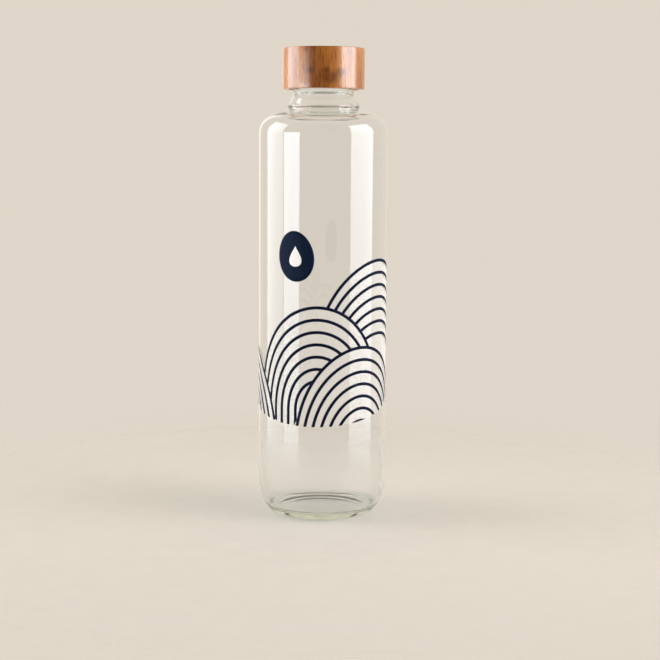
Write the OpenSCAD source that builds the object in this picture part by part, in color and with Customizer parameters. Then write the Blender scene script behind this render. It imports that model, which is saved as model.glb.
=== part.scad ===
// Glass water bottle with a bamboo screw cap and a printed wave pattern.
// The bottle stands on z = 0, its axis is the Z axis and the middle of the print faces -Y.

/* [Glass body] */
// Outer diameter of the body
body_d = 80; // [76:1:84]
// Height of the glass, from the table to the sealing rim
glass_h = 280.5; // [265:0.5:300]
// Wall thickness of the body
wall = 2; // [1.8:0.1:3]
// Thickness of the glass floor above the hollow under it
floor_t = 2.6; // [2:0.1:4]
// Height of the hollow under the floor
punt_h = 2; // [1.5:0.1:3]
// Radius of the long curve between the floor and the body
heel_r = 26; // [22:1:30]
// Radius of the corner between the body and the shoulder
shoulder_r = 12; // [10:0.5:13]

/* [Neck] */
// Outer diameter of the neck under the thread
neck_d = 36.2; // [35.8:0.1:36.4]
// Diameter of the mouth
mouth_d = 31.8; // [30:0.2:32]
// Diameter of the bead at the foot of the neck
bead_d = 44.8; // [43:0.2:47]

/* [Screw thread] */
// Rise of the cap for each full turn
thread_lead = 5; // [4.8:0.1:5.4]
// Turns of thread on the glass and in the cap
thread_turns = 1.5; // [1:0.25:1.5]

/* [Cap] */
// Outer diameter of the bamboo cap
cap_d = 51; // [49:0.5:56]
// Height of the bamboo cap
cap_h = 25; // [24:0.5:27]
// Thickness of the silicone gasket
gasket_t = 2; // [1.5:0.1:2.5]

/* [Print] */
// Width of the ink lines
line_w = 1.9; // [1.2:0.1:2.4]
// Vertical distance between the lines of one hill
line_gap = 7.5; // [6.5:0.1:8.4]
// Width of the printed area, measured around the glass
print_w = 120; // [100:1:122]
// Thickness of the ink
ink_t = 0.1; // [0.1:0.01:0.2]
// Width of the oval badge, before it is tilted
badge_w = 23.5; // [20:0.5:26]
// Height of the oval badge, before it is tilted
badge_h = 30.8; // [26:0.2:34]

/* [Hidden] */
$fn = 96;
eps = 0.01;

// Glass outline
body_r = body_d / 2;
hollow_r = body_r - wall;
foot_r = 2.5;                              // rounding where the heel meets the table
heel_cut = 7;                              // how far the heel's curve would reach under the table
heel_top = heel_r - heel_cut;              // height at which the heel becomes the straight wall
heel_x = body_r - heel_r;
foot_x = corner_x(heel_r, foot_r, 0);
foot_join = corner_join(heel_r, foot_r, 0);
punt_r = foot_x - 3;
inner_heel_r = heel_r - wall;
floor_z = punt_h + floor_t;
floor_round = 5;                           // rounding between the heel and the floor, inside
floor_x = corner_x(inner_heel_r, floor_round, floor_z);
floor_join = corner_join(inner_heel_r, floor_round, floor_z);

shoulder_z = glass_h - 42.5;               // centre height of the shoulder corner
shoulder_x = body_r - shoulder_r;
shoulder_rise = 14;                        // slope of the shoulder above its corner, in degrees
inner_shoulder_r = shoulder_r - wall;
neck_r = neck_d / 2;
mouth_r = mouth_d / 2;
bead_r = bead_d / 2;
throat_r = bead_r - 1.4;                   // inside, where the sloping shoulder ends
throat_in = 2;                             // how far the inside narrows from there up to the bead
bead_z = glass_h - 25.8;
bead_round = 1.3;
cone_foot = [bead_r - 0.5, bead_z + 0.9];  // where the cone leaves the bead
cone_top = glass_h - 19.5;                 // where the foot of the neck becomes the neck
neck_step = 0.6;                           // height of the small slope from the cone to the neck
ring_r = neck_r + 0.8;
cone_top_r = ring_r - 0.1;
ring_z = glass_h - 17.4;
ring_round = 1.5;
rim_round = 0.8;

// Thread: the ridge on the glass and the ridge in the cap run side by side, half a lead apart
thread_crest_r = neck_r + 1.3;
insert_bore_r = neck_r + 1.8;
insert_crest_r = neck_r + 0.4;
ridge_root_w = 3;
ridge_crest_w = 1.4;
ridge_sink = 0.4;                          // how far the foot of a ridge reaches into its wall
ridge_fade = 40;                           // degrees over which a ridge rises from its wall
thread_z = glass_h - 14;
steps_per_turn = 48;

// Cap stack above the rim
cap_r = cap_d / 2;
disc_t = 0.5;
insert_wall = 2.4;
recess_r = insert_bore_r + insert_wall;
gasket_top = glass_h + gasket_t;
recess_top = gasket_top + disc_t;
cap_bottom = glass_h - 15.5;
cap_round = 0.5;
insert_bottom = cap_bottom + 0.8;
gasket_r = neck_r + 0.2;
gasket_hole_r = mouth_r - 2.4;

// Print, laid out as millimetres around the glass from its middle and millimetres up.
// Each hill is [centre around, centre height, half width, height, side step], nearest hill first
HILLS = [
  [-74.4, 45, 43, 63.3, 4.9],
  [26, 45, 42.8, 63.2, 4.85],
  [-3.1, 70, 43, 63.2, 4.9],
  [40.9, 100, 44.9, 60.9, 3.9]
];
LINES = 7;                                 // lines in each hill
floor_low = [-5.6, 60];                    // lowest point of the printed area
floor_rise = 0.00304;                      // how fast its lower edge rises to both sides
ink_step = 3;                              // length of one flat piece of an ink line
least_ink = 0.1;                           // least height of a line where it is cut off
search_steps = 900;
leg = 80;                                  // degrees past the half circle that stand for a leg
leg_scale = 0.5;                           // millimetres of leg for each of those degrees

badge_angle = -24.4;
badge_z = 164;
badge_tilt = 8;
egg = 0.05;                                // how much narrower the top of the badge is
drop_w = 8;
drop_h = 12.5;
drop_t = 0.05;
drop_peak = 0.7;                           // greatest product of the two sines in its outline

// ---------- glass ----------

// A corner circle of radius r stands on the level z and rounds off the heel curve of radius heel.
// Its centre is at corner_x, and it runs into the heel curve at the height corner_join
function corner_x(heel, r, z) = heel_x + sqrt((heel - r) ^ 2 - (heel_top - z - r) ^ 2);
function corner_join(heel, r, z) = heel_top - heel * (heel_top - z - r) / (heel - r);

module glass_outline() {
  // foot and heel
  square([foot_x, foot_r]);
  translate([foot_x, foot_r]) circle(foot_r);
  intersection() {
    translate([heel_x, heel_top]) circle(heel_r);
    translate([0, foot_join]) square([body_r, heel_r]);
  }
  // straight wall and shoulder corner
  translate([0, heel_top]) square([body_r, shoulder_z - heel_top]);
  translate([shoulder_x, shoulder_z]) circle(shoulder_r);
  // sloping shoulder, conical foot of the neck and the neck itself
  polygon([
    [0, shoulder_z - 1], [shoulder_x, shoulder_z - 1],
    shoulder_point(shoulder_r), [bead_r, slope_z(shoulder_r, bead_r)],
    [bead_r - bead_round, bead_z - bead_round], cone_foot,
    [cone_top_r, cone_top], [neck_r, cone_top + neck_step],
    [neck_r, glass_h - rim_round], [0, glass_h - rim_round]
  ]);
  translate([bead_r - bead_round, bead_z]) circle(bead_round);
  translate([ring_r - ring_round, ring_z]) circle(ring_round);
  // sealing rim, rounded on both edges
  translate([mouth_r + rim_round, glass_h - 2 * rim_round])
    square([neck_r - mouth_r - 2 * rim_round, 2 * rim_round]);
  for (x = [mouth_r + rim_round, neck_r - rim_round])
    translate([x, glass_h - rim_round]) circle(rim_round);
}

// Point where the shoulder corner of radius r runs into the slope
function shoulder_point(r) =
  [shoulder_x + r * sin(shoulder_rise), shoulder_z + r * cos(shoulder_rise)];

// Height of the slope above the corner of radius r, at distance x from the axis
function slope_z(r, x) =
  shoulder_point(r)[1] + (shoulder_point(r)[0] - x) * tan(shoulder_rise);

module hollow_outline() {
  // floor, rounded into the heel
  translate([0, floor_z]) square([floor_x, floor_round]);
  translate([floor_x, floor_z + floor_round]) circle(floor_round);
  intersection() {
    translate([heel_x, heel_top]) circle(inner_heel_r);
    translate([0, floor_join]) square([hollow_r, heel_r]);
  }
  // straight wall and shoulder corner
  translate([0, heel_top]) square([hollow_r, shoulder_z - heel_top]);
  translate([shoulder_x, shoulder_z]) circle(inner_shoulder_r);
  // underside of the shoulder, inside of the conical foot, and the mouth
  polygon([
    [0, shoulder_z - 1], [shoulder_x, shoulder_z - 1],
    shoulder_point(inner_shoulder_r),
    [throat_r, slope_z(inner_shoulder_r, throat_r)],
    [throat_r - throat_in, bead_z], [mouth_r, cone_top],
    [mouth_r, glass_h + 1], [0, glass_h + 1]
  ]);
}

module punt_outline() {
  // shallow dome: its circle passes through the edge at punt_r and the middle at punt_h
  dome_r = (punt_r ^ 2 + punt_h ^ 2) / (2 * punt_h);
  intersection() {
    translate([0, punt_h - dome_r]) circle(dome_r, $fn = 360);
    translate([0, -1]) square([punt_r + 1, punt_h + 2]);
  }
}

// One ridge of screw thread, as rings of four corners along a right-hand helix
module thread_ridge(wall_r, crest_r, z_start) {
  sink = crest_r > wall_r ? -ridge_sink : ridge_sink;
  steps = ceil(thread_turns * steps_per_turn);
  function ring(k) =
    let (
      angle = 360 * thread_turns * k / steps,
      rise = min(1, angle / ridge_fade, (360 * thread_turns - angle) / ridge_fade),
      r_foot = wall_r + sink,
      r_crest = wall_r + (crest_r - wall_r) * rise + sink * 0.5 * (1 - rise),
      z = z_start + thread_lead * angle / 360
    )
    [for (c = [[r_foot, -ridge_root_w], [r_crest, -ridge_crest_w],
               [r_crest, ridge_crest_w], [r_foot, ridge_root_w]])
      [c[0] * cos(angle), c[0] * sin(angle), z + c[1] / 2]];
  strip(steps, [for (k = [0:steps]) each ring(k)]);
}

// Closed strip through rings of four corners each; the rings run anticlockwise
module strip(steps, points) {
  last = 4 * steps;
  polyhedron(
    points = points,
    faces = concat(
      [[0, 1, 2, 3], [last + 3, last + 2, last + 1, last]],
      [for (k = [0:steps - 1], c = [0:3])
        let (a = 4 * k + c, b = 4 * k + (c + 1) % 4) each [[a, a + 4, b + 4], [a, b + 4, b]]]
    ),
    convexity = 8
  );
}

module glass_bottle() {
  color([0.86, 0.9, 0.88, 0.35]) {
    rotate_extrude()
      difference() {
        glass_outline();
        hollow_outline();
        punt_outline();
      }
    thread_ridge(neck_r, thread_crest_r, thread_z);
  }
}

// ---------- print ----------

// Lower edge of the printed area: lowest a little left of the middle, rising to both sides
function print_floor(s) = floor_low[1] + floor_rise * (s - floor_low[0]) ^ 2;

// Whether a point of the surface lies under the outline of a hill
function under_hill(hill, p) =
  let (
    across = (p[0] - hill[0]) / (hill[2] + line_w / 2 + eps),
    up = max(0, p[1] - hill[1]) / (hill[3] + line_w / 2 + eps)
  )
  across ^ 2 + up ^ 2 < 1;

// Whether ink of the hill of that rank shows at a point, or is cut off or behind another hill
function shows(rank, p) =
  abs(p[0]) <= print_w / 2 && p[1] >= print_floor(p[0]) &&
  len([for (k = [0:1:rank - 1]) if (under_hill(HILLS[k], p)) k]) == 0;

// Point of a line of a hill: half an ellipse, with a straight leg down from each end
function line_point(hill, i, t, side) =
  let (
    a = hill[2] - i * hill[4],
    b = hill[3] - i * line_gap,
    u = max(0, min(180, t)),
    drop = leg_scale * max(0, -t, t - 180),
    out = [cos(u) / a, sin(u) / b]
  )
  [hill[0] + a * cos(u), hill[1] + b * sin(u) - drop] + side * line_w / 2 * out / norm(out);

function line_angle(k) = -leg + (180 + 2 * leg) * k / search_steps;

// First and last angle at which one edge of a line shows
function shown_span(rank, i, side) =
  let (shown = [for (k = [0:search_steps])
    if (shows(rank, line_point(HILLS[rank], i, line_angle(k), side))) line_angle(k)])
  len(shown) < 2 ? undef : [shown[0], shown[len(shown) - 1]];

function between(span, share) = span[0] + (span[1] - span[0]) * share;

// Angle at the axis for a distance around the glass
function turn(s) = s / body_r * 180 / PI;

// Point of the print's layout, wrapped at a distance r from the axis
function wrap(p, r) = [r * sin(turn(p[0])), -r * cos(turn(p[0])), p[1]];

// Widest distance around the glass that one flat piece of a line spans
function widest(pairs) =
  max([for (k = [1:len(pairs) - 1])
    let (s = [for (p = concat(pairs[k - 1], pairs[k])) p[0]]) max(s) - min(s)]);

module ink_line(rank, i) {
  outer = shown_span(rank, i, 1);
  inner = shown_span(rank, i, -1);
  if (outer != undef) {
    hill = HILLS[rank];
    travel = (outer[1] - outer[0]) * PI / 180 * (hill[3] - i * line_gap);
    steps = max(3, ceil(travel / ink_step));
    // a line cut off before its lower edge shows is filled down to the edge of the printed area
    pairs = [for (k = [0:steps])
      let (p = line_point(hill, i, between(outer, k / steps), 1))
      [p, inner != undef
        ? line_point(hill, i, between(inner, k / steps), -1)
        : [p[0], min(p[1] - least_ink, print_floor(p[0]))]]];
    // the widest flat piece just touches the glass at its middle
    r_in = body_r / cos(turn(widest(pairs)) / 2);
    r_out = r_in + ink_t;
    strip(steps, [for (pair = pairs)
      each [wrap(pair[1], r_in), wrap(pair[0], r_in), wrap(pair[0], r_out), wrap(pair[1], r_out)]]);
  }
}

module wave_print() {
  color([0.05, 0.07, 0.15])
    for (rank = [0:len(HILLS) - 1], i = [0:LINES - 1]) ink_line(rank, i);
}

// Egg-shaped oval, fuller at the bottom
module badge_outline() {
  rotate(badge_tilt)
    polygon([for (t = [0:10:350])
      [badge_w / 2 * cos(t) * (1 - egg * sin(t)), badge_h / 2 * sin(t)]]);
}

// Water drop: a round belly drawn up to a point
module drop_outline() {
  polygon([for (t = [0:12:348])
    [drop_w / 2 / drop_peak * sin(t) * pow(sin(t / 2), 1.5), drop_h / 2 * cos(t)]]);
}

// Thin layer on the glass at the badge, cut to the outline given as a child
module badge_layer(bottom, top) {
  intersection() {
    translate([0, 0, badge_z - badge_h])
      difference() {
        cylinder(r = body_r + top, h = 2 * badge_h);
        translate([0, 0, -1]) cylinder(r = body_r + bottom, h = 2 * badge_h + 2);
      }
    rotate([0, 0, badge_angle])
      translate([0, -body_r / 2, badge_z])
        rotate([90, 0, 0]) linear_extrude(height = body_r) children();
  }
}

module badge_print() {
  color([0.05, 0.08, 0.18]) badge_layer(0, ink_t) badge_outline();
}

module badge_drop() {
  color("white") badge_layer(ink_t, ink_t + drop_t) drop_outline();
}

// ---------- cap ----------

module bamboo_cap_shell() {
  color([0.78, 0.55, 0.33])
    rotate_extrude()
      difference() {
        union() {
          translate([0, cap_bottom]) square([cap_r - cap_round, cap_h]);
          translate([0, cap_bottom + cap_round]) square([cap_r, cap_h - 2 * cap_round]);
          for (z = [cap_bottom + cap_round, cap_bottom + cap_h - cap_round])
            translate([cap_r - cap_round, z]) circle(cap_round);
        }
        translate([0, cap_bottom - 1]) square([recess_r, recess_top - cap_bottom + 1]);
      }
}

module cap_thread_insert() {
  color([0.93, 0.9, 0.84]) {
    translate([0, 0, insert_bottom])
      difference() {
        cylinder(r = recess_r, h = gasket_top - insert_bottom);
        translate([0, 0, -1]) cylinder(r = insert_bore_r, h = gasket_top - insert_bottom + 2);
      }
    thread_ridge(insert_bore_r, insert_crest_r, thread_z + thread_lead / 2);
  }
}

module steel_liner_disc() {
  color([0.75, 0.76, 0.78])
    translate([0, 0, gasket_top]) cylinder(r = recess_r, h = disc_t);
}

module sealing_gasket() {
  color([0.92, 0.92, 0.9])
    translate([0, 0, glass_h])
      difference() {
        cylinder(r = gasket_r, h = gasket_t);
        translate([0, 0, -1]) cylinder(r = gasket_hole_r, h = gasket_t + 2);
      }
}

glass_bottle();
wave_print();
badge_print();
badge_drop();
bamboo_cap_shell();
cap_thread_insert();
steel_liner_disc();
sealing_gasket();
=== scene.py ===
"""Looks of the glass water bottle: blown glass, printed waves, bamboo screw cap, studio and camera."""

import math

import bpy
from mathutils import Matrix, Vector


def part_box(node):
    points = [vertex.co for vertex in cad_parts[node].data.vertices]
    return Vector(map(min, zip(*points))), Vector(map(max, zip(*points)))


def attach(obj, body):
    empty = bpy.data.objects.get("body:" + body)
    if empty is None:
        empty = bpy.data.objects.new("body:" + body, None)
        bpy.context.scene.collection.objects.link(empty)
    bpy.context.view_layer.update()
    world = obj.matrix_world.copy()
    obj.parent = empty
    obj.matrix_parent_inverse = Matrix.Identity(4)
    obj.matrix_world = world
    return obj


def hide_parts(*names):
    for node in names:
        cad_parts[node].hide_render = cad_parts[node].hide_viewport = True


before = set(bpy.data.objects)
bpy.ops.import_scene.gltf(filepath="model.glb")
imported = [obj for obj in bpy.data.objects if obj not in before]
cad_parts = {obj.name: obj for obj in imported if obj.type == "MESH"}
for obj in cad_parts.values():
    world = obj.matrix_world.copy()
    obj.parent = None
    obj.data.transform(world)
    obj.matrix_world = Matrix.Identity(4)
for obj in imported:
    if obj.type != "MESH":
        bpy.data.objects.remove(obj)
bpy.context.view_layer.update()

MM = 0.001

# ---------- sizes, taken from the frame ----------

glass_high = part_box("glass_bottle")[1]
cap_low, cap_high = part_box("bamboo_cap_shell")
insert_low, insert_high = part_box("cap_thread_insert")
disc_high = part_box("steel_liner_disc")[1]

BODY_R = glass_high.x
GLASS_TOP = glass_high.z
CAP_R = cap_high.x
RECESS_R = insert_high.x

WALL = 2 * MM
PUNT_H = 2 * MM
FLOOR_T = 2.6 * MM
HEEL_R = 26 * MM
HEEL_TOP = HEEL_R - 7 * MM
FOOT_R = 2.5 * MM
FLOOR_ROUND = 5 * MM
SHOULDER_R = 12 * MM
SHOULDER_SLOPE = math.radians(14)
SHOULDER_Z = GLASS_TOP - 42.5 * MM
NECK_R = 18.1 * MM
MOUTH_R = 15.9 * MM
BEAD_R = 22.4 * MM
BEAD_Z = GLASS_TOP - 25.8 * MM
CONE_TOP = GLASS_TOP - 19.5 * MM
RING_R = NECK_R + 0.8 * MM
RING_Z = GLASS_TOP - 17.4 * MM
RIM_ROUND = 0.8 * MM

LEAD = 5 * MM
THREAD_TURNS = 1.5
THREAD_Z = GLASS_TOP - 14 * MM
INSERT_BORE_R = NECK_R + 1.8 * MM

HILL_LINES = 7
LINE_W = 1.9 * MM
LINE_GAP = 7.5 * MM
PRINT_W = 120 * MM
# Each hill of the print, nearest first: centre around the glass, centre height,
# half width, height, and how much narrower each inner line is on either side
HILLS = [
    (-74.4 * MM, 45 * MM, 43 * MM, 63.3 * MM, 4.9 * MM),
    (26 * MM, 45 * MM, 42.8 * MM, 63.2 * MM, 4.85 * MM),
    (-3.1 * MM, 70 * MM, 43 * MM, 63.2 * MM, 4.9 * MM),
    (40.9 * MM, 100 * MM, 44.9 * MM, 60.9 * MM, 3.9 * MM),
]

BADGE_ANGLE = math.radians(-24.4)
BADGE_Z = 164 * MM
BADGE_SIZE = (23.5 * MM, 30.8 * MM)
BADGE_TILT = math.radians(8)
DROP_SIZE = (8 * MM, 12.5 * MM)
DROP_PEAK = 0.7


# ---------- outlines and meshes ----------

def arc(centre, radius, start, end, steps):
    """Points of a circle from start to end, in degrees."""
    x, z = centre
    turns = [math.radians(start + (end - start) * k / steps) for k in range(steps + 1)]
    return [(x + radius * math.cos(a), z + radius * math.sin(a)) for a in turns]


def straight(start, end, step):
    """Points between two points, about a step apart, without either end."""
    count = max(1, round(math.dist(start, end) / step))
    return [
        (start[0] + (end[0] - start[0]) * k / count, start[1] + (end[1] - start[1]) * k / count)
        for k in range(1, count)
    ]


def rounded(corners, steps=6):
    """An open outline through corners (x, z, radius), with each inner corner rounded to its radius."""
    points = [corners[0][:2]]
    for before, here, after in zip(corners, corners[1:], corners[2:]):
        at = Vector(here[:2])
        back = (Vector(before[:2]) - at).normalized()
        on = (Vector(after[:2]) - at).normalized()
        half = back.angle(on) / 2
        if here[2] == 0 or math.pi / 2 - half < 0.01:
            points.append(tuple(at))
            continue
        centre = at + (back + on).normalized() * (here[2] / math.sin(half))
        first = at + back * (here[2] / math.tan(half)) - centre
        last = at + on * (here[2] / math.tan(half)) - centre
        sweep = first.angle_signed(last)
        for k in range(steps + 1):
            spoke = first.copy()
            spoke.rotate(Matrix.Rotation(-sweep * k / steps, 2))
            points.append(tuple(centre + spoke))
    points.append(corners[-1][:2])
    return points


def make(name, vertices, faces, material, body, uv=None):
    """A smooth mesh object that rides on a body."""
    mesh = bpy.data.meshes.new(name)
    mesh.from_pydata(vertices, [], faces)
    mesh.validate()
    mesh.shade_smooth()
    if uv:
        layer = mesh.uv_layers.new(name="surface")
        for loop in mesh.loops:
            layer.data[loop.index].uv = uv[loop.vertex_index]
    mesh.materials.append(material)
    thing = bpy.data.objects.new(name, mesh)
    bpy.context.scene.collection.objects.link(thing)
    if body:
        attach(thing, body)
    return thing


def lathe(name, outline, material, body, segments=192, swell=None, closed=False):
    """Turns an outline of (r, z) about the Z axis. swell(angle, r, z) is added to the radius."""
    vertices, rows = [], []
    for r, z in outline:
        if r < 1e-6:
            rows.append([len(vertices)] * segments)
            vertices.append((0, 0, z))
            continue
        rows.append(list(range(len(vertices), len(vertices) + segments)))
        for k in range(segments):
            angle = math.tau * k / segments
            out = r + (swell(angle, r, z) if swell else 0)
            vertices.append((out * math.cos(angle), out * math.sin(angle), z))
    if closed:
        rows.append(rows[0])
    faces = []
    for low, high in zip(rows, rows[1:]):
        for k in range(segments):
            on = (k + 1) % segments
            corners = [low[k], low[on], high[on], high[k]]
            faces.append(list(dict.fromkeys(corners)))
    return make(name, vertices, faces, material, body)


def ridge(angle, z, start, height, root, crest):
    """Height of a right-hand thread ridge at a point of its wall."""
    total = 360 * THREAD_TURNS
    best = 0
    for turn in range(math.ceil(THREAD_TURNS) + 1):
        along = math.degrees(angle) + 360 * turn
        if along > total:
            break
        off = abs(z - start - LEAD * along / 360)
        side = min(1, max(0, (root / 2 - off) / (root / 2 - crest / 2)))
        fade = min(1, along / 40, (total - along) / 40)
        best = max(best, height * fade * side * side * (3 - 2 * side))
    return best


# ---------- materials ----------

def material(name):
    """An empty node material and its output node."""
    made = bpy.data.materials.new(name)
    made.use_nodes = True
    made.node_tree.nodes.clear()
    return made, made.node_tree.nodes.new("ShaderNodeOutputMaterial")


def node(made, kind, **values):
    """A node of a material, with its properties or input sockets set."""
    new = made.node_tree.nodes.new("ShaderNode" + kind)
    for key, value in values.items():
        if hasattr(new, key):
            setattr(new, key, value)
        else:
            new.inputs[key.replace("_", " ")].default_value = value
    return new


def link(made, source, target):
    made.node_tree.links.new(source, target)


def principled(made, output, color, roughness, **values):
    shader = node(made, "BsdfPrincipled", **values)
    shader.inputs["Base Color"].default_value = (*color, 1)
    shader.inputs["Roughness"].default_value = roughness
    link(made, shader.outputs[0], output.inputs["Surface"])
    return shader


def coordinates(made, scale):
    """Object coordinates, scaled, so a pattern stays on the piece."""
    where = node(made, "TexCoord")
    mapping = node(made, "Mapping", Scale=scale)
    link(made, where.outputs["Object"], mapping.inputs["Vector"])
    return mapping.outputs["Vector"]


def noise(made, scale, detail=3, stretch=(1, 1, 1), roughness=0.5):
    texture = node(made, "TexNoise", Scale=scale, Detail=detail, Roughness=roughness)
    link(made, coordinates(made, stretch), texture.inputs["Vector"])
    return texture.outputs["Fac"]


def ramp(made, source, stops):
    """A colour ramp over a source, with stops of (position, colour)."""
    band = node(made, "ValToRGB")
    elements = band.color_ramp.elements
    while len(elements) < len(stops):
        elements.new(0.5)
    for element, (position, color) in zip(elements, stops):
        element.position = position
        element.color = (*color, 1)
    link(made, source, band.inputs["Fac"])
    return band.outputs["Color"]


def spread(made, source, low, high, span=(0.3, 0.7), curve="LINEAR"):
    """A source's span mapped to values from low to high."""
    mapped = node(made, "MapRange", From_Min=span[0], From_Max=span[1], To_Min=low, To_Max=high,
                  interpolation_type=curve)
    link(made, source, mapped.inputs["Value"])
    return mapped.outputs["Result"]


def bump(made, source, shader, distance, strength=1.0):
    raised = node(made, "Bump", Distance=distance, Strength=strength)
    link(made, source, raised.inputs["Height"])
    link(made, raised.outputs["Normal"], shader.inputs["Normal"])


def mixed(made, factor, first, second, blend="MIX"):
    """Two colours mixed by a factor; a plain tuple is a plain colour."""
    blender = node(made, "Mix", data_type="RGBA", blend_type=blend)
    sockets = [s for s in blender.inputs if s.type == "RGBA"]
    for value, socket in zip((first, second), sockets):
        if isinstance(value, tuple):
            socket.default_value = (*value, 1)
        else:
            link(made, value, socket)
    if isinstance(factor, float):
        blender.inputs["Factor"].default_value = factor
    else:
        link(made, factor, blender.inputs["Factor"])
    return [s for s in blender.outputs if s.type == "RGBA"][0]


def clear_glass():
    """Clear borosilicate glass, very slightly wavy, a little green through its thickness."""
    made, output = material("clear_glass")
    shader = node(made, "BsdfPrincipled", IOR=1.47, Transmission_Weight=1.0)
    shader.inputs["Base Color"].default_value = (0.966, 0.97, 0.973, 1)
    shader.inputs["Roughness"].default_value = 0.0
    bump(made, noise(made, 45, 2, (1, 1, 0.25)), shader, 0.00004, 0.6)
    passing = node(made, "BsdfTransparent", Color=(0.9, 0.92, 0.91, 1))
    light = node(made, "LightPath")
    both = node(made, "MixShader")
    link(made, light.outputs["Is Shadow Ray"], both.inputs["Fac"])
    link(made, shader.outputs[0], both.inputs[1])
    link(made, passing.outputs[0], both.inputs[2])
    link(made, both.outputs[0], output.inputs["Surface"])
    tint = node(made, "VolumeAbsorption", Color=(0.82, 0.88, 0.72, 1), Density=14)
    link(made, tint.outputs[0], output.inputs["Volume"])
    return made


def ink(name, color, worn):
    """Opaque matt screen-print ink with a faintly uneven coat."""
    made, output = material(name)
    shader = principled(made, output, color, 0.5)
    shader.inputs["Specular IOR Level"].default_value = 0.03
    patches = noise(made, 320, 4)
    link(made, mixed(made, spread(made, patches, 0, 1), color, worn), shader.inputs["Base Color"])
    link(made, spread(made, patches, 0.42, 0.58), shader.inputs["Roughness"])
    bump(made, noise(made, 2600, 3), shader, 0.00001, 0.5)
    return made


def tint_film():
    """The thin milky ground printed under the waves."""
    made, output = material("milky_ground")
    shader = principled(made, output, (0.95, 0.96, 0.98), 0.5)
    shader.inputs["Alpha"].default_value = 0.15
    shader.inputs["Specular IOR Level"].default_value = 0
    grain = noise(made, 900, 4)
    link(made, mixed(made, spread(made, grain, 0, 1), (0.93, 0.95, 0.97), (0.97, 0.98, 1)),
         shader.inputs["Base Color"])
    link(made, spread(made, grain, 0.5, 0.58), shader.inputs["Roughness"])
    return made


def scar(made, turn, up, reach):
    """Strength of the dark rings of a growth node on the cap's side, turn degrees right of the front."""
    angle = math.radians(turn)
    middle = (CAP_R * math.sin(angle), -CAP_R * math.cos(angle), up)
    where = node(made, "TexCoord")
    offset = node(made, "VectorMath", operation="SUBTRACT")
    offset.inputs[1].default_value = middle
    link(made, where.outputs["Object"], offset.inputs[0])
    squeezed = node(made, "VectorMath", operation="MULTIPLY")
    squeezed.inputs[1].default_value = (1, 1, 1.5)
    link(made, offset.outputs["Vector"], squeezed.inputs[0])
    away = node(made, "VectorMath", operation="LENGTH")
    link(made, squeezed.outputs["Vector"], away.inputs[0])
    rings = node(made, "TexWave", wave_type="RINGS", rings_direction="SPHERICAL", Scale=170,
                 Distortion=5, Detail=3, Detail_Scale=2.5)
    link(made, squeezed.outputs["Vector"], rings.inputs["Vector"])
    fading = spread(made, away.outputs["Value"], 1, 0, (0.2 * reach, reach), "SMOOTHSTEP")
    held = node(made, "Math", operation="MULTIPLY")
    link(made, fading, held.inputs[0])
    link(made, spread(made, rings.outputs["Fac"], 0.75, 1, (0.3, 0.7)), held.inputs[1])
    return held.outputs[0]


def bamboo():
    """Varnished bamboo: upright fibres, glued strips and a few dark growth nodes."""
    made, output = material("bamboo")
    shader = principled(made, output, (0.6, 0.36, 0.16), 0.42)
    shader.inputs["Specular IOR Level"].default_value = 0.25
    shader.inputs["Coat Weight"].default_value = 0.9
    shader.inputs["Coat Roughness"].default_value = 0.18
    shader.inputs["Coat IOR"].default_value = 1.5

    broad = noise(made, 95, 3, (1, 1, 0.1))
    fibres = noise(made, 900, 5, (1, 1, 0.035), 0.6)
    base = ramp(made, broad, [
        (0.3, (0.24, 0.074, 0.008)), (0.46, (0.34, 0.12, 0.016)),
        (0.58, (0.44, 0.17, 0.028)), (0.72, (0.58, 0.25, 0.052)),
    ])
    streaks = ramp(made, fibres, [
        (0.32, (0.62, 0.48, 0.36)), (0.45, (0.9, 0.86, 0.8)), (0.6, (1, 1, 1)), (0.74, (1.1, 1.1, 1.1)),
    ])
    strokes = noise(made, 2300, 2, (1, 1, 0.07))
    stroked = ramp(made, strokes, [
        (0.36, (0.36, 0.2, 0.1)), (0.44, (0.88, 0.82, 0.76)), (0.52, (1, 1, 1)), (0.7, (1, 1, 1)),
    ])
    grained = mixed(made, 0.8, mixed(made, 0.75, base, streaks, "MULTIPLY"), stroked, "MULTIPLY")

    strips = node(made, "TexBrick", Scale=1.0, Mortar_Size=0.00016, Mortar_Smooth=0.6,
                  Brick_Width=0.021, Row_Height=0.0065, Bias=0.1, offset=0.5)
    strips.inputs["Color1"].default_value = (0.8, 0.78, 0.74, 1)
    strips.inputs["Color2"].default_value = (1, 1, 1, 1)
    strips.inputs["Mortar"].default_value = (0.45, 0.32, 0.22, 1)
    link(made, coordinates(made, (1, 1, 0)), strips.inputs["Vector"])
    glued = mixed(made, 0.8, grained, strips.outputs["Color"], "MULTIPLY")

    side_z = (cap_low.z + cap_high.z) / 2
    scars = [scar(made, turn, side_z + up * MM, reach * MM) for turn, up, reach in (
        (9, -6, 9), (3, -2, 4.5), (25, -3, 6), (-18, -2, 4.5), (128, 3, 9), (-110, -7, 8))]
    worst = scars[0]
    for other in scars[1:]:
        both = node(made, "Math", operation="MAXIMUM")
        link(made, worst, both.inputs[0])
        link(made, other, both.inputs[1])
        worst = both.outputs[0]
    crumbs = noise(made, 700, 5, (1, 1, 0.4), 0.7)
    place = node(made, "Math", operation="MULTIPLY")
    link(made, worst, place.inputs[0])
    link(made, spread(made, crumbs, 0.6, 1, (0.42, 0.56)), place.inputs[1])
    knotted = mixed(made, place.outputs[0], glued, (0.1, 0.026, 0.003))
    link(made, knotted, shader.inputs["Base Color"])

    link(made, spread(made, fibres, 0.5, 0.32), shader.inputs["Roughness"])
    bump(made, fibres, shader, 0.00005, 0.35)
    return made


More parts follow.
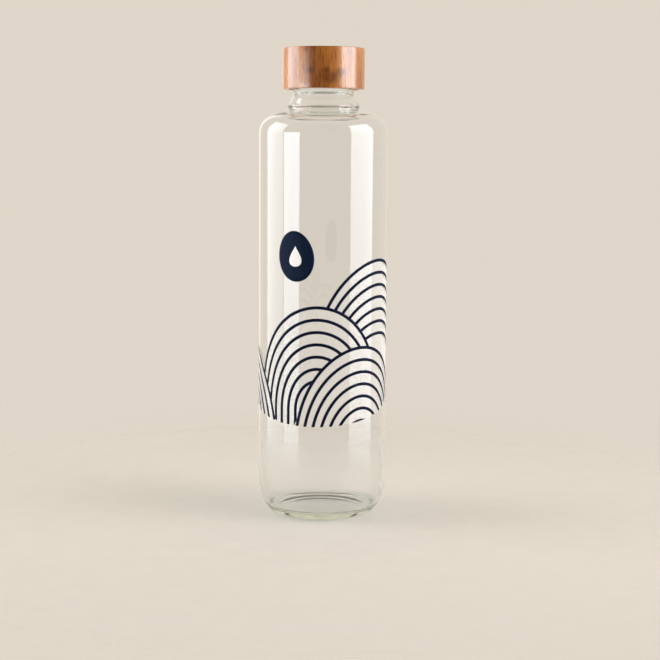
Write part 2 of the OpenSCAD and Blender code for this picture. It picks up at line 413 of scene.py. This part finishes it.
def moulded_plastic():
    """Cream moulded polypropylene with a fine satin grain."""
    made, output = material("cream_plastic")
    shader = principled(made, output, (0.82, 0.76, 0.64), 0.45)
    shader.inputs["Subsurface Weight"].default_value = 0.1
    shader.inputs["Subsurface Scale"].default_value = 0.002
    clouds = noise(made, 140, 3)
    link(made, mixed(made, spread(made, clouds, 0, 1), (0.8, 0.73, 0.61), (0.86, 0.8, 0.69)),
         shader.inputs["Base Color"])
    link(made, spread(made, clouds, 0.38, 0.52), shader.inputs["Roughness"])
    bump(made, noise(made, 3500, 2), shader, 0.00001, 0.5)
    return made


def brushed_steel():
    """Stainless disc, turned, so its fine lines run in circles."""
    made, output = material("liner_steel")
    shader = principled(made, output, (0.62, 0.62, 0.63), 0.3, Metallic=1.0)
    rings = node(made, "TexWave", wave_type="RINGS", rings_direction="Z", Scale=900,
                 Distortion=1.5, Detail=2)
    link(made, coordinates(made, (1, 1, 1)), rings.inputs["Vector"])
    link(made, mixed(made, rings.outputs["Fac"], (0.58, 0.58, 0.59), (0.68, 0.68, 0.69)),
         shader.inputs["Base Color"])
    link(made, spread(made, rings.outputs["Fac"], 0.24, 0.36, (0, 1)), shader.inputs["Roughness"])
    bump(made, rings.outputs["Fac"], shader, 0.00001, 0.4)
    return made


def silicone():
    """Soft white silicone with a dusty surface."""
    made, output = material("white_silicone")
    shader = principled(made, output, (0.85, 0.85, 0.82), 0.55)
    shader.inputs["Subsurface Weight"].default_value = 0.15
    shader.inputs["Subsurface Scale"].default_value = 0.002
    dust = noise(made, 700, 4)
    link(made, mixed(made, spread(made, dust, 0, 1), (0.82, 0.82, 0.79), (0.9, 0.9, 0.87)),
         shader.inputs["Base Color"])
    link(made, spread(made, dust, 0.48, 0.64), shader.inputs["Roughness"])
    bump(made, dust, shader, 0.00001, 0.4)
    return made


# ---------- glass ----------

def slope_z(corner_r, x):
    """Height of the sloping shoulder above its corner, at a distance x from the axis."""
    start_x = BODY_R - SHOULDER_R + corner_r * math.sin(SHOULDER_SLOPE)
    start_z = SHOULDER_Z + corner_r * math.cos(SHOULDER_SLOPE)
    return start_z + (start_x - x) * math.tan(SHOULDER_SLOPE)


def heel(heel_r, corner_r, z):
    """Outline of a heel: a corner circle that stands on the level z, then the long heel curve."""
    centre_x = BODY_R - HEEL_R
    corner_x = centre_x + math.sqrt((heel_r - corner_r) ** 2 - (HEEL_TOP - z - corner_r) ** 2)
    turn = math.degrees(math.atan2(z + corner_r - HEEL_TOP, corner_x - centre_x))
    corner = arc((corner_x, z + corner_r), corner_r, -90, turn, 10)
    return corner + arc((centre_x, HEEL_TOP), heel_r, turn, 0, 20)[1:]


def glass_outline():
    """The whole outline of the glass, from the middle of the punt round the outside and back inside."""
    outer_heel = heel(HEEL_R, FOOT_R, 0)
    punt_r = outer_heel[0][0] - 3 * MM
    dome_r = (punt_r ** 2 + PUNT_H ** 2) / (2 * PUNT_H)
    dome_turn = math.degrees(math.asin(punt_r / dome_r))
    shoulder = (BODY_R - SHOULDER_R, SHOULDER_Z)
    slope = math.degrees(SHOULDER_SLOPE)

    punt = arc((0, PUNT_H - dome_r), dome_r, 90, 90 - dome_turn, 16)
    wall = straight(outer_heel[-1], (BODY_R, SHOULDER_Z), 12 * MM)
    corner = arc(shoulder, SHOULDER_R, 0, 90 - slope, 20)
    neck_foot = rounded([
        (*corner[-1], 0), (BEAD_R - 0.6 * MM, slope_z(SHOULDER_R, BEAD_R - 0.6 * MM), 1.1 * MM),
        (BEAD_R - 0.5 * MM, BEAD_Z - 1.3 * MM, 0.3 * MM), (BEAD_R + 0.1 * MM, BEAD_Z, 1.0 * MM),
        (BEAD_R - 0.8 * MM, BEAD_Z + 1.2 * MM, 0.8 * MM), (RING_R + 0.3 * MM, CONE_TOP - 0.3 * MM, 2 * MM),
        (RING_R - 0.5 * MM, CONE_TOP + 0.6 * MM, 0.5 * MM), (RING_R + 0.1 * MM, RING_Z, 1.2 * MM),
        (NECK_R, RING_Z + 1.7 * MM, 0.8 * MM), (NECK_R, RING_Z + 2.2 * MM, 0),
    ])[1:]
    neck = straight(neck_foot[-1], (NECK_R, GLASS_TOP - RIM_ROUND), 0.3 * MM)
    rim = (arc((NECK_R - RIM_ROUND, GLASS_TOP - RIM_ROUND), RIM_ROUND, 0, 90, 6)
           + arc((MOUTH_R + RIM_ROUND, GLASS_TOP - RIM_ROUND), RIM_ROUND, 90, 180, 6))

    inner_corner_r = SHOULDER_R - WALL
    floor_z = PUNT_H + FLOOR_T
    inner_heel = heel(HEEL_R - WALL, FLOOR_ROUND, floor_z)[::-1]
    inner_shoulder = arc(shoulder, inner_corner_r, 90 - slope, 0, 16)
    throat_x = BEAD_R - 1.4 * MM
    throat = rounded([
        (*rim[-1], 0), (MOUTH_R, CONE_TOP, 10 * MM), (throat_x - 2 * MM, BEAD_Z, 5 * MM),
        (throat_x, slope_z(inner_corner_r, throat_x), 6 * MM), (*inner_shoulder[0], 0),
    ], 10)[1:-1]
    inner_wall = straight(inner_shoulder[-1], inner_heel[0], 12 * MM)
    floor = straight(inner_heel[-1], (0, floor_z), 5 * MM) + [(0, floor_z)]
    return (punt + outer_heel + wall + corner + neck_foot + neck + rim
            + throat + inner_shoulder + inner_wall + inner_heel + floor)


def thread_swell(angle, r, z):
    """The ridge on the outside of the neck."""
    outside = abs(r - NECK_R) < 0.01 * MM and z > RING_Z + 2 * MM
    return ridge(angle, z, THREAD_Z, 1.3 * MM, 3 * MM, 1.4 * MM) if outside else 0


def glass_bottle():
    piece = lathe("blown_glass", glass_outline(), clear_glass(), "bottle", swell=thread_swell)
    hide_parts("glass_bottle")


# ---------- print ----------

def print_floor(s):
    """Lower edge of the printed area, lowest a little left of the middle."""
    return 60 * MM + 3.04 * (s + 5.6 * MM) ** 2


def hill_top(hill, s, grow=0.0):
    """Height of a hill's outline at s, or minus infinity beside it."""
    across = (s - hill[0]) / (hill[2] + grow)
    return hill[1] + (hill[3] + grow) * math.sqrt(1 - across ** 2) if abs(across) < 1 else -math.inf


def shows(rank, s, z):
    """Whether ink of that hill shows at a point, or is cut off or behind a nearer hill."""
    if abs(s) > PRINT_W / 2 or z < print_floor(s):
        return False
    return all(z > hill_top(hill, s, 0.45 * LINE_W) for hill in HILLS[:rank])


def line_point(hill, index, turn, side):
    """Point of a hill's line: half an ellipse with a straight leg below each end."""
    wide = hill[2] - index * hill[4]
    high = hill[3] - index * LINE_GAP
    held = min(max(turn, 0), math.pi)
    drop = 0.03 * max(0, -turn, turn - math.pi)
    out = Vector((math.cos(held) / wide, math.sin(held) / high)).normalized() * side * LINE_W / 2
    return (hill[0] + wide * math.cos(held) + out.x, hill[1] + high * math.sin(held) - drop + out.y)


def shown_span(rank, index, side, steps=3000, leg=1.4):
    """First and last turn at which one edge of a line shows."""
    turns = [-leg + (math.pi + 2 * leg) * k / steps for k in range(steps + 1)]
    shown = [t for t in turns if shows(rank, *line_point(HILLS[rank], index, t, side))]
    return (shown[0], shown[-1]) if len(shown) > 1 else None


def on_glass(s, z, lift):
    """Surface coordinates, around and up, to a point that far off the glass."""
    angle, r = s / BODY_R, BODY_R + lift
    return (r * math.sin(angle), -r * math.cos(angle), z)


def ribbon(outer, inner, low, high):
    """Vertices and faces of a closed strip of ink between two edges."""
    vertices, faces = [], []
    for a, b in zip(outer, inner):
        vertices += [on_glass(*b, low), on_glass(*a, low), on_glass(*a, high), on_glass(*b, high)]
    for k in range(len(outer) - 1):
        for c in range(4):
            a, b = 4 * k + c, 4 * k + (c + 1) % 4
            faces.append([a, a + 4, b + 4, b])
    last = 4 * (len(outer) - 1)
    return vertices, faces + [[0, 1, 2, 3], [last + 3, last + 2, last + 1, last]]


def ink_lines():
    """Every visible line of every hill, as strips of ink on the glass."""
    vertices, faces = [], []
    for rank, hill in enumerate(HILLS):
        for index in range(HILL_LINES):
            outer = shown_span(rank, index, 1)
            if not outer:
                continue
            inner = shown_span(rank, index, -1)
            steps = max(8, round((outer[1] - outer[0]) * (hill[3] - index * LINE_GAP) / (0.7 * MM)))
            shares = [k / steps for k in range(steps + 1)]
            top = [line_point(hill, index, outer[0] + (outer[1] - outer[0]) * x, 1) for x in shares]
            if inner:
                under = [line_point(hill, index, inner[0] + (inner[1] - inner[0]) * x, -1) for x in shares]
            else:
                under = [(s, min(z, print_floor(s))) for s, z in top]
            more, sides = ribbon(top, under, 0.004 * MM, 0.07 * MM)
            faces += [[len(vertices) + v for v in face] for face in sides]
            vertices += more
    return vertices, faces


def wave_print():
    piece = make("wave_lines", *ink_lines(), ink("navy_ink", (0.003, 0.006, 0.02), (0.006, 0.01, 0.028)),
                 "bottle")
    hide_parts("wave_print")

    columns = [-PRINT_W / 2 + PRINT_W * k / 150 for k in range(151)]
    vertices, rows = [], 14
    for s in columns:
        low = print_floor(s)
        high = max(low + 0.1 * MM, *(hill_top(hill, s) for hill in HILLS))
        vertices += [on_glass(s, low + (high - low) * k / rows, 0.002 * MM) for k in range(rows + 1)]
    faces = [
        [a, a + rows + 1, a + rows + 2, a + 1]
        for c in range(len(columns) - 1) for a in range(c * (rows + 1), c * (rows + 1) + rows)
    ]
    film = make("milky_ground", vertices, faces, tint_film(), "bottle")


def patch(name, outline, low, high, finish):
    """A thin layer of ink on the glass with that outline, given around the badge's middle."""
    rings, vertices, faces = 8, [], []
    centre = BADGE_ANGLE * BODY_R
    for lift in (low, high):
        for k in range(rings):
            share = (k + 1) / rings
            vertices += [on_glass(centre + x * share, BADGE_Z + z * share, lift) for x, z in outline]
        vertices.append(on_glass(centre, BADGE_Z, lift))
    count = len(outline)
    layer = count * rings + 1
    for base, flip in ((0, True), (layer, False)):
        middle = base + count * rings
        for j in range(count):
            on = (j + 1) % count
            fan = [middle, base + j, base + on]
            faces.append(fan[::-1] if flip else fan)
            for k in range(rings - 1):
                a, b = base + k * count, base + (k + 1) * count
                quad = [a + j, b + j, b + on, a + on]
                faces.append(quad[::-1] if flip else quad)
    edge = count * (rings - 1)
    for j in range(count):
        on = (j + 1) % count
        faces.append([edge + j, edge + on, layer + edge + on, layer + edge + j])
    return make(name, vertices, faces, finish, "bottle")


def badge():
    wide, high = BADGE_SIZE
    turns = [math.tau * k / 96 for k in range(96)]
    egg = [Vector((wide / 2 * math.cos(t) * (1 - 0.05 * math.sin(t)), high / 2 * math.sin(t))) for t in turns]
    tilt = Matrix.Rotation(BADGE_TILT, 2)
    oval = patch("badge_oval", [tuple(tilt @ p) for p in egg], 0.004 * MM, 0.07 * MM,
                 ink("badge_ink", (0.003, 0.009, 0.024), (0.005, 0.013, 0.034)))
    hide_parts("badge_print")

    wide, high = DROP_SIZE
    belly = [
        (wide / 2 / DROP_PEAK * math.sin(t) * math.sin(t / 2) ** 1.5, high / 2 * math.cos(t)) for t in turns
    ]
    drop = patch("badge_water_drop", belly[::-1], 0.07 * MM, 0.11 * MM,
                 ink("white_ink", (0.9, 0.9, 0.89), (0.95, 0.95, 0.94)))
    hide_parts("badge_drop")


# ---------- cap ----------

def bamboo_cap():
    """The turned bamboo shell: closed top, eased edges and a bored recess."""
    ease = 0.5 * MM
    top, bottom = cap_high.z, cap_low.z
    outline = (
        [(0, top)] + straight((0, top), (CAP_R - ease, top), 3 * MM)
        + arc((CAP_R - ease, top - ease), ease, 90, 0, 8)
        + straight((CAP_R, top - ease), (CAP_R, bottom + ease), 3 * MM)
        + arc((CAP_R - ease, bottom + ease), ease, 0, -90, 8)
        + arc((RECESS_R + 0.3 * MM, bottom + 0.3 * MM), 0.3 * MM, -90, -180, 4)
        + [(RECESS_R, disc_high.z), (0, disc_high.z)]
    )
    piece = lathe("bamboo_shell", outline[::-1], bamboo(), "cap")
    sharpen(piece)
    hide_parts("bamboo_cap_shell")


def threaded_insert():
    """The moulded ring in the cap, with its inside thread and a rounded lower lip."""
    low, high, lip = insert_low.z, insert_high.z, 0.6 * MM
    outline = (
        arc((RECESS_R - lip, low + lip), lip, 0, -90, 5)
        + arc((INSERT_BORE_R + lip, low + lip), lip, -90, -180, 5)
        + straight((INSERT_BORE_R, low + lip), (INSERT_BORE_R, high), 0.3 * MM)
        + [(INSERT_BORE_R, high), (RECESS_R, high)]
    )

    def swell(angle, r, z):
        inside = abs(r - INSERT_BORE_R) < 0.01 * MM
        return -ridge(angle, z, THREAD_Z + LEAD / 2, 1.4 * MM, 3 * MM, 1.4 * MM) if inside else 0

    piece = lathe("threaded_insert", outline[::-1], moulded_plastic(), "cap", swell=swell, closed=True)
    sharpen(piece)
    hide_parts("cap_thread_insert")


def sharpen(piece, degrees=35):
    """Keeps true corners crisp on a smooth mesh."""
    piece.data.set_sharp_from_angle(angle=math.radians(degrees))


def finish_cad_nodes():
    """The disc and the gasket keep their CAD shape and get their real materials."""
    for name, made in (("steel_liner_disc", brushed_steel()), ("sealing_gasket", silicone())):
        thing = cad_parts[name]
        for slot in thing.material_slots:
            slot.material = made
        thing.data.shade_smooth()
        sharpen(thing)


# ---------- studio ----------

BACKDROP = (0.742, 0.672, 0.585)
SOFTBOX_FOOT = -0.8


def floor():
    """A pale disc that fades into the backdrop, so no horizon shows."""
    made, output = material("pale_floor")
    shader = principled(made, output, (0.5, 0.475, 0.43), 0.8)
    grain = noise(made, 60, 3)
    link(made, mixed(made, spread(made, grain, 0, 1), (0.49, 0.466, 0.422), (0.51, 0.484, 0.438)),
         shader.inputs["Base Color"])
    clear = node(made, "BsdfTransparent")
    place = node(made, "TexCoord")
    distance = node(made, "VectorMath", operation="LENGTH")
    link(made, place.outputs["Object"], distance.inputs[0])
    both = node(made, "MixShader")
    link(made, spread(made, distance.outputs["Value"], 0, 1, (0.1, 0.42), "SMOOTHSTEP"), both.inputs["Fac"])
    link(made, shader.outputs[0], both.inputs[1])
    link(made, clear.outputs[0], both.inputs[2])
    link(made, both.outputs[0], output.inputs["Surface"])
    disc = [(0, 0, -0.0001)] + [
        (1.2 * math.cos(math.tau * k / 64), 1.2 * math.sin(math.tau * k / 64), -0.0001) for k in range(64)
    ]
    piece = make("floor", disc, [[0, k + 1, (k + 1) % 64 + 1] for k in range(64)], made, None)


def backdrop():
    """The studio's surroundings: a pale backdrop, and in reflections a dim room in front of it."""
    world = bpy.data.worlds.new("studio")
    world.use_nodes = True
    nodes, links = world.node_tree.nodes, world.node_tree.links
    nodes.clear()
    rays = nodes.new("ShaderNodeLightPath")
    seen = nodes.new("ShaderNodeMath")
    seen.operation = "MAXIMUM"
    links.new(rays.outputs["Is Camera Ray"], seen.inputs[0])
    inside = nodes.new("ShaderNodeMath")
    inside.operation = "MULTIPLY"
    inside.use_clamp = True
    inside.inputs[1].default_value = 0.8
    links.new(rays.outputs["Transmission Depth"], inside.inputs[0])
    through = nodes.new("ShaderNodeMath")
    through.operation = "MAXIMUM"
    links.new(rays.outputs["Is Transmission Ray"], through.inputs[0])
    links.new(inside.outputs[0], through.inputs[1])
    links.new(through.outputs[0], seen.inputs[1])
    place = nodes.new("ShaderNodeTexCoord")
    lit = nodes.new("ShaderNodeVectorMath")
    lit.operation = "DOT_PRODUCT"
    lit.inputs[1].default_value = (0, 0.75, 0.66)
    links.new(place.outputs["Generated"], lit.inputs[0])
    behind = nodes.new("ShaderNodeMapRange")
    behind.interpolation_type = "SMOOTHSTEP"
    behind.inputs["From Min"].default_value = -0.5
    behind.inputs["From Max"].default_value = 0.5
    behind.inputs["To Min"].default_value = 0.06
    behind.inputs["To Max"].default_value = 1.15
    links.new(lit.outputs["Value"], behind.inputs["Value"])
    around = nodes.new("ShaderNodeBackground")
    around.inputs["Color"].default_value = (*BACKDROP, 1)
    links.new(behind.outputs["Result"], around.inputs["Strength"])
    pale = nodes.new("ShaderNodeBackground")
    pale.inputs["Color"].default_value = (*BACKDROP, 1)
    pale.inputs["Strength"].default_value = 1
    both = nodes.new("ShaderNodeMixShader")
    out = nodes.new("ShaderNodeOutputWorld")
    links.new(seen.outputs[0], both.inputs["Fac"])
    links.new(around.outputs[0], both.inputs[1])
    links.new(pale.outputs[0], both.inputs[2])
    links.new(both.outputs[0], out.inputs["Surface"])
    bpy.context.scene.world = world


def softbox(name, azimuth, width, top, radiance, color, lights_matt=True):
    """A tall soft light a metre from the bottle, dimmer towards its foot, which reaches below the
    table. Azimuth is measured at the bottle from the front, to the right. A light that doesn't
    light matt surfaces only shows as a reflection."""
    light = bpy.data.lights.new(name, "AREA")
    light.shape = "RECTANGLE"
    light.size, light.size_y = width, top - SOFTBOX_FOOT
    light.energy, light.color = radiance * light.size * light.size_y, color
    light.use_nodes = True
    nodes, links = light.node_tree.nodes, light.node_tree.links
    place = nodes.new("ShaderNodeNewGeometry")
    along = nodes.new("ShaderNodeSeparateXYZ")
    links.new(place.outputs["Position"], along.inputs[0])
    fade = nodes.new("ShaderNodeMapRange")
    fade.interpolation_type = "SMOOTHSTEP"
    fade.inputs["From Min"].default_value = -0.2
    fade.inputs["From Max"].default_value = 0.55
    fade.inputs["To Min"].default_value = 0.42
    fade.inputs["To Max"].default_value = 1.0
    links.new(along.outputs["Z"], fade.inputs["Value"])
    glow = next(n for n in nodes if n.type == "EMISSION")
    links.new(fade.outputs["Result"], glow.inputs["Strength"])
    lamp = bpy.data.objects.new(name, light)
    turn = math.radians(azimuth)
    distance = 1 if lights_matt else 1.05
    centre_z = (top + SOFTBOX_FOOT) / 2
    lamp.location = (distance * math.sin(turn), -distance * math.cos(turn), centre_z)
    lamp.rotation_euler = (math.radians(90), 0, turn)
    lamp.visible_camera = False
    lamp.visible_transmission = False
    lamp.visible_diffuse = lights_matt
    bpy.context.scene.collection.objects.link(lamp)


def lights():
    warm, cool = (1, 0.96, 0.96), (0.58, 0.8, 1)
    softbox("right_softbox", 73.5, 0.91, 1.05, 21, warm)
    softbox("left_softbox", -57, 0.56, 0.31, 22, warm)
    softbox("left_panel", -95, 0.78, 1.05, 15, warm)
    softbox("right_shine", 73.5, 0.91, 1.05, 14, cool, False)
    softbox("left_shine", -57, 0.56, 0.31, 23, cool, False)
    softbox("left_panel_shine", -95, 0.78, 1.05, 9, cool, False)
    softbox("left_rim", -158, 0.3, 1.05, 2.5, (1, 0.95, 0.92), False)


def camera():
    """The camera of the product picture: a long lens, level with the shoulder, looking slightly down."""
    data = bpy.data.cameras.new("camera")
    data.sensor_width = 36
    data.lens = 81.5
    shot = bpy.data.objects.new("camera", data)
    shot.matrix_world = (
        Matrix.Translation((0, -0.9364, 0.2283))
        @ Matrix.Rotation(math.radians(-0.297), 4, "Z")
        @ Matrix.Rotation(math.radians(90 - 6.9), 4, "X")
        @ Matrix.Rotation(math.radians(0.351), 4, "Z")
    )
    bpy.context.scene.collection.objects.link(shot)
    bpy.context.scene.camera = shot


def light_depth():
    """Light crosses many glass surfaces at the neck and foot, so it is followed beyond the default."""
    cycles = bpy.context.scene.cycles
    cycles.max_bounces = 24
    cycles.glossy_bounces = 16
    cycles.transmission_bounces = 24


bpy.context.scene.view_settings.view_transform = "Standard"
light_depth()
glass_bottle()
wave_print()
badge()
bamboo_cap()
threaded_insert()
finish_cad_nodes()
floor()
backdrop()
lights()
camera()
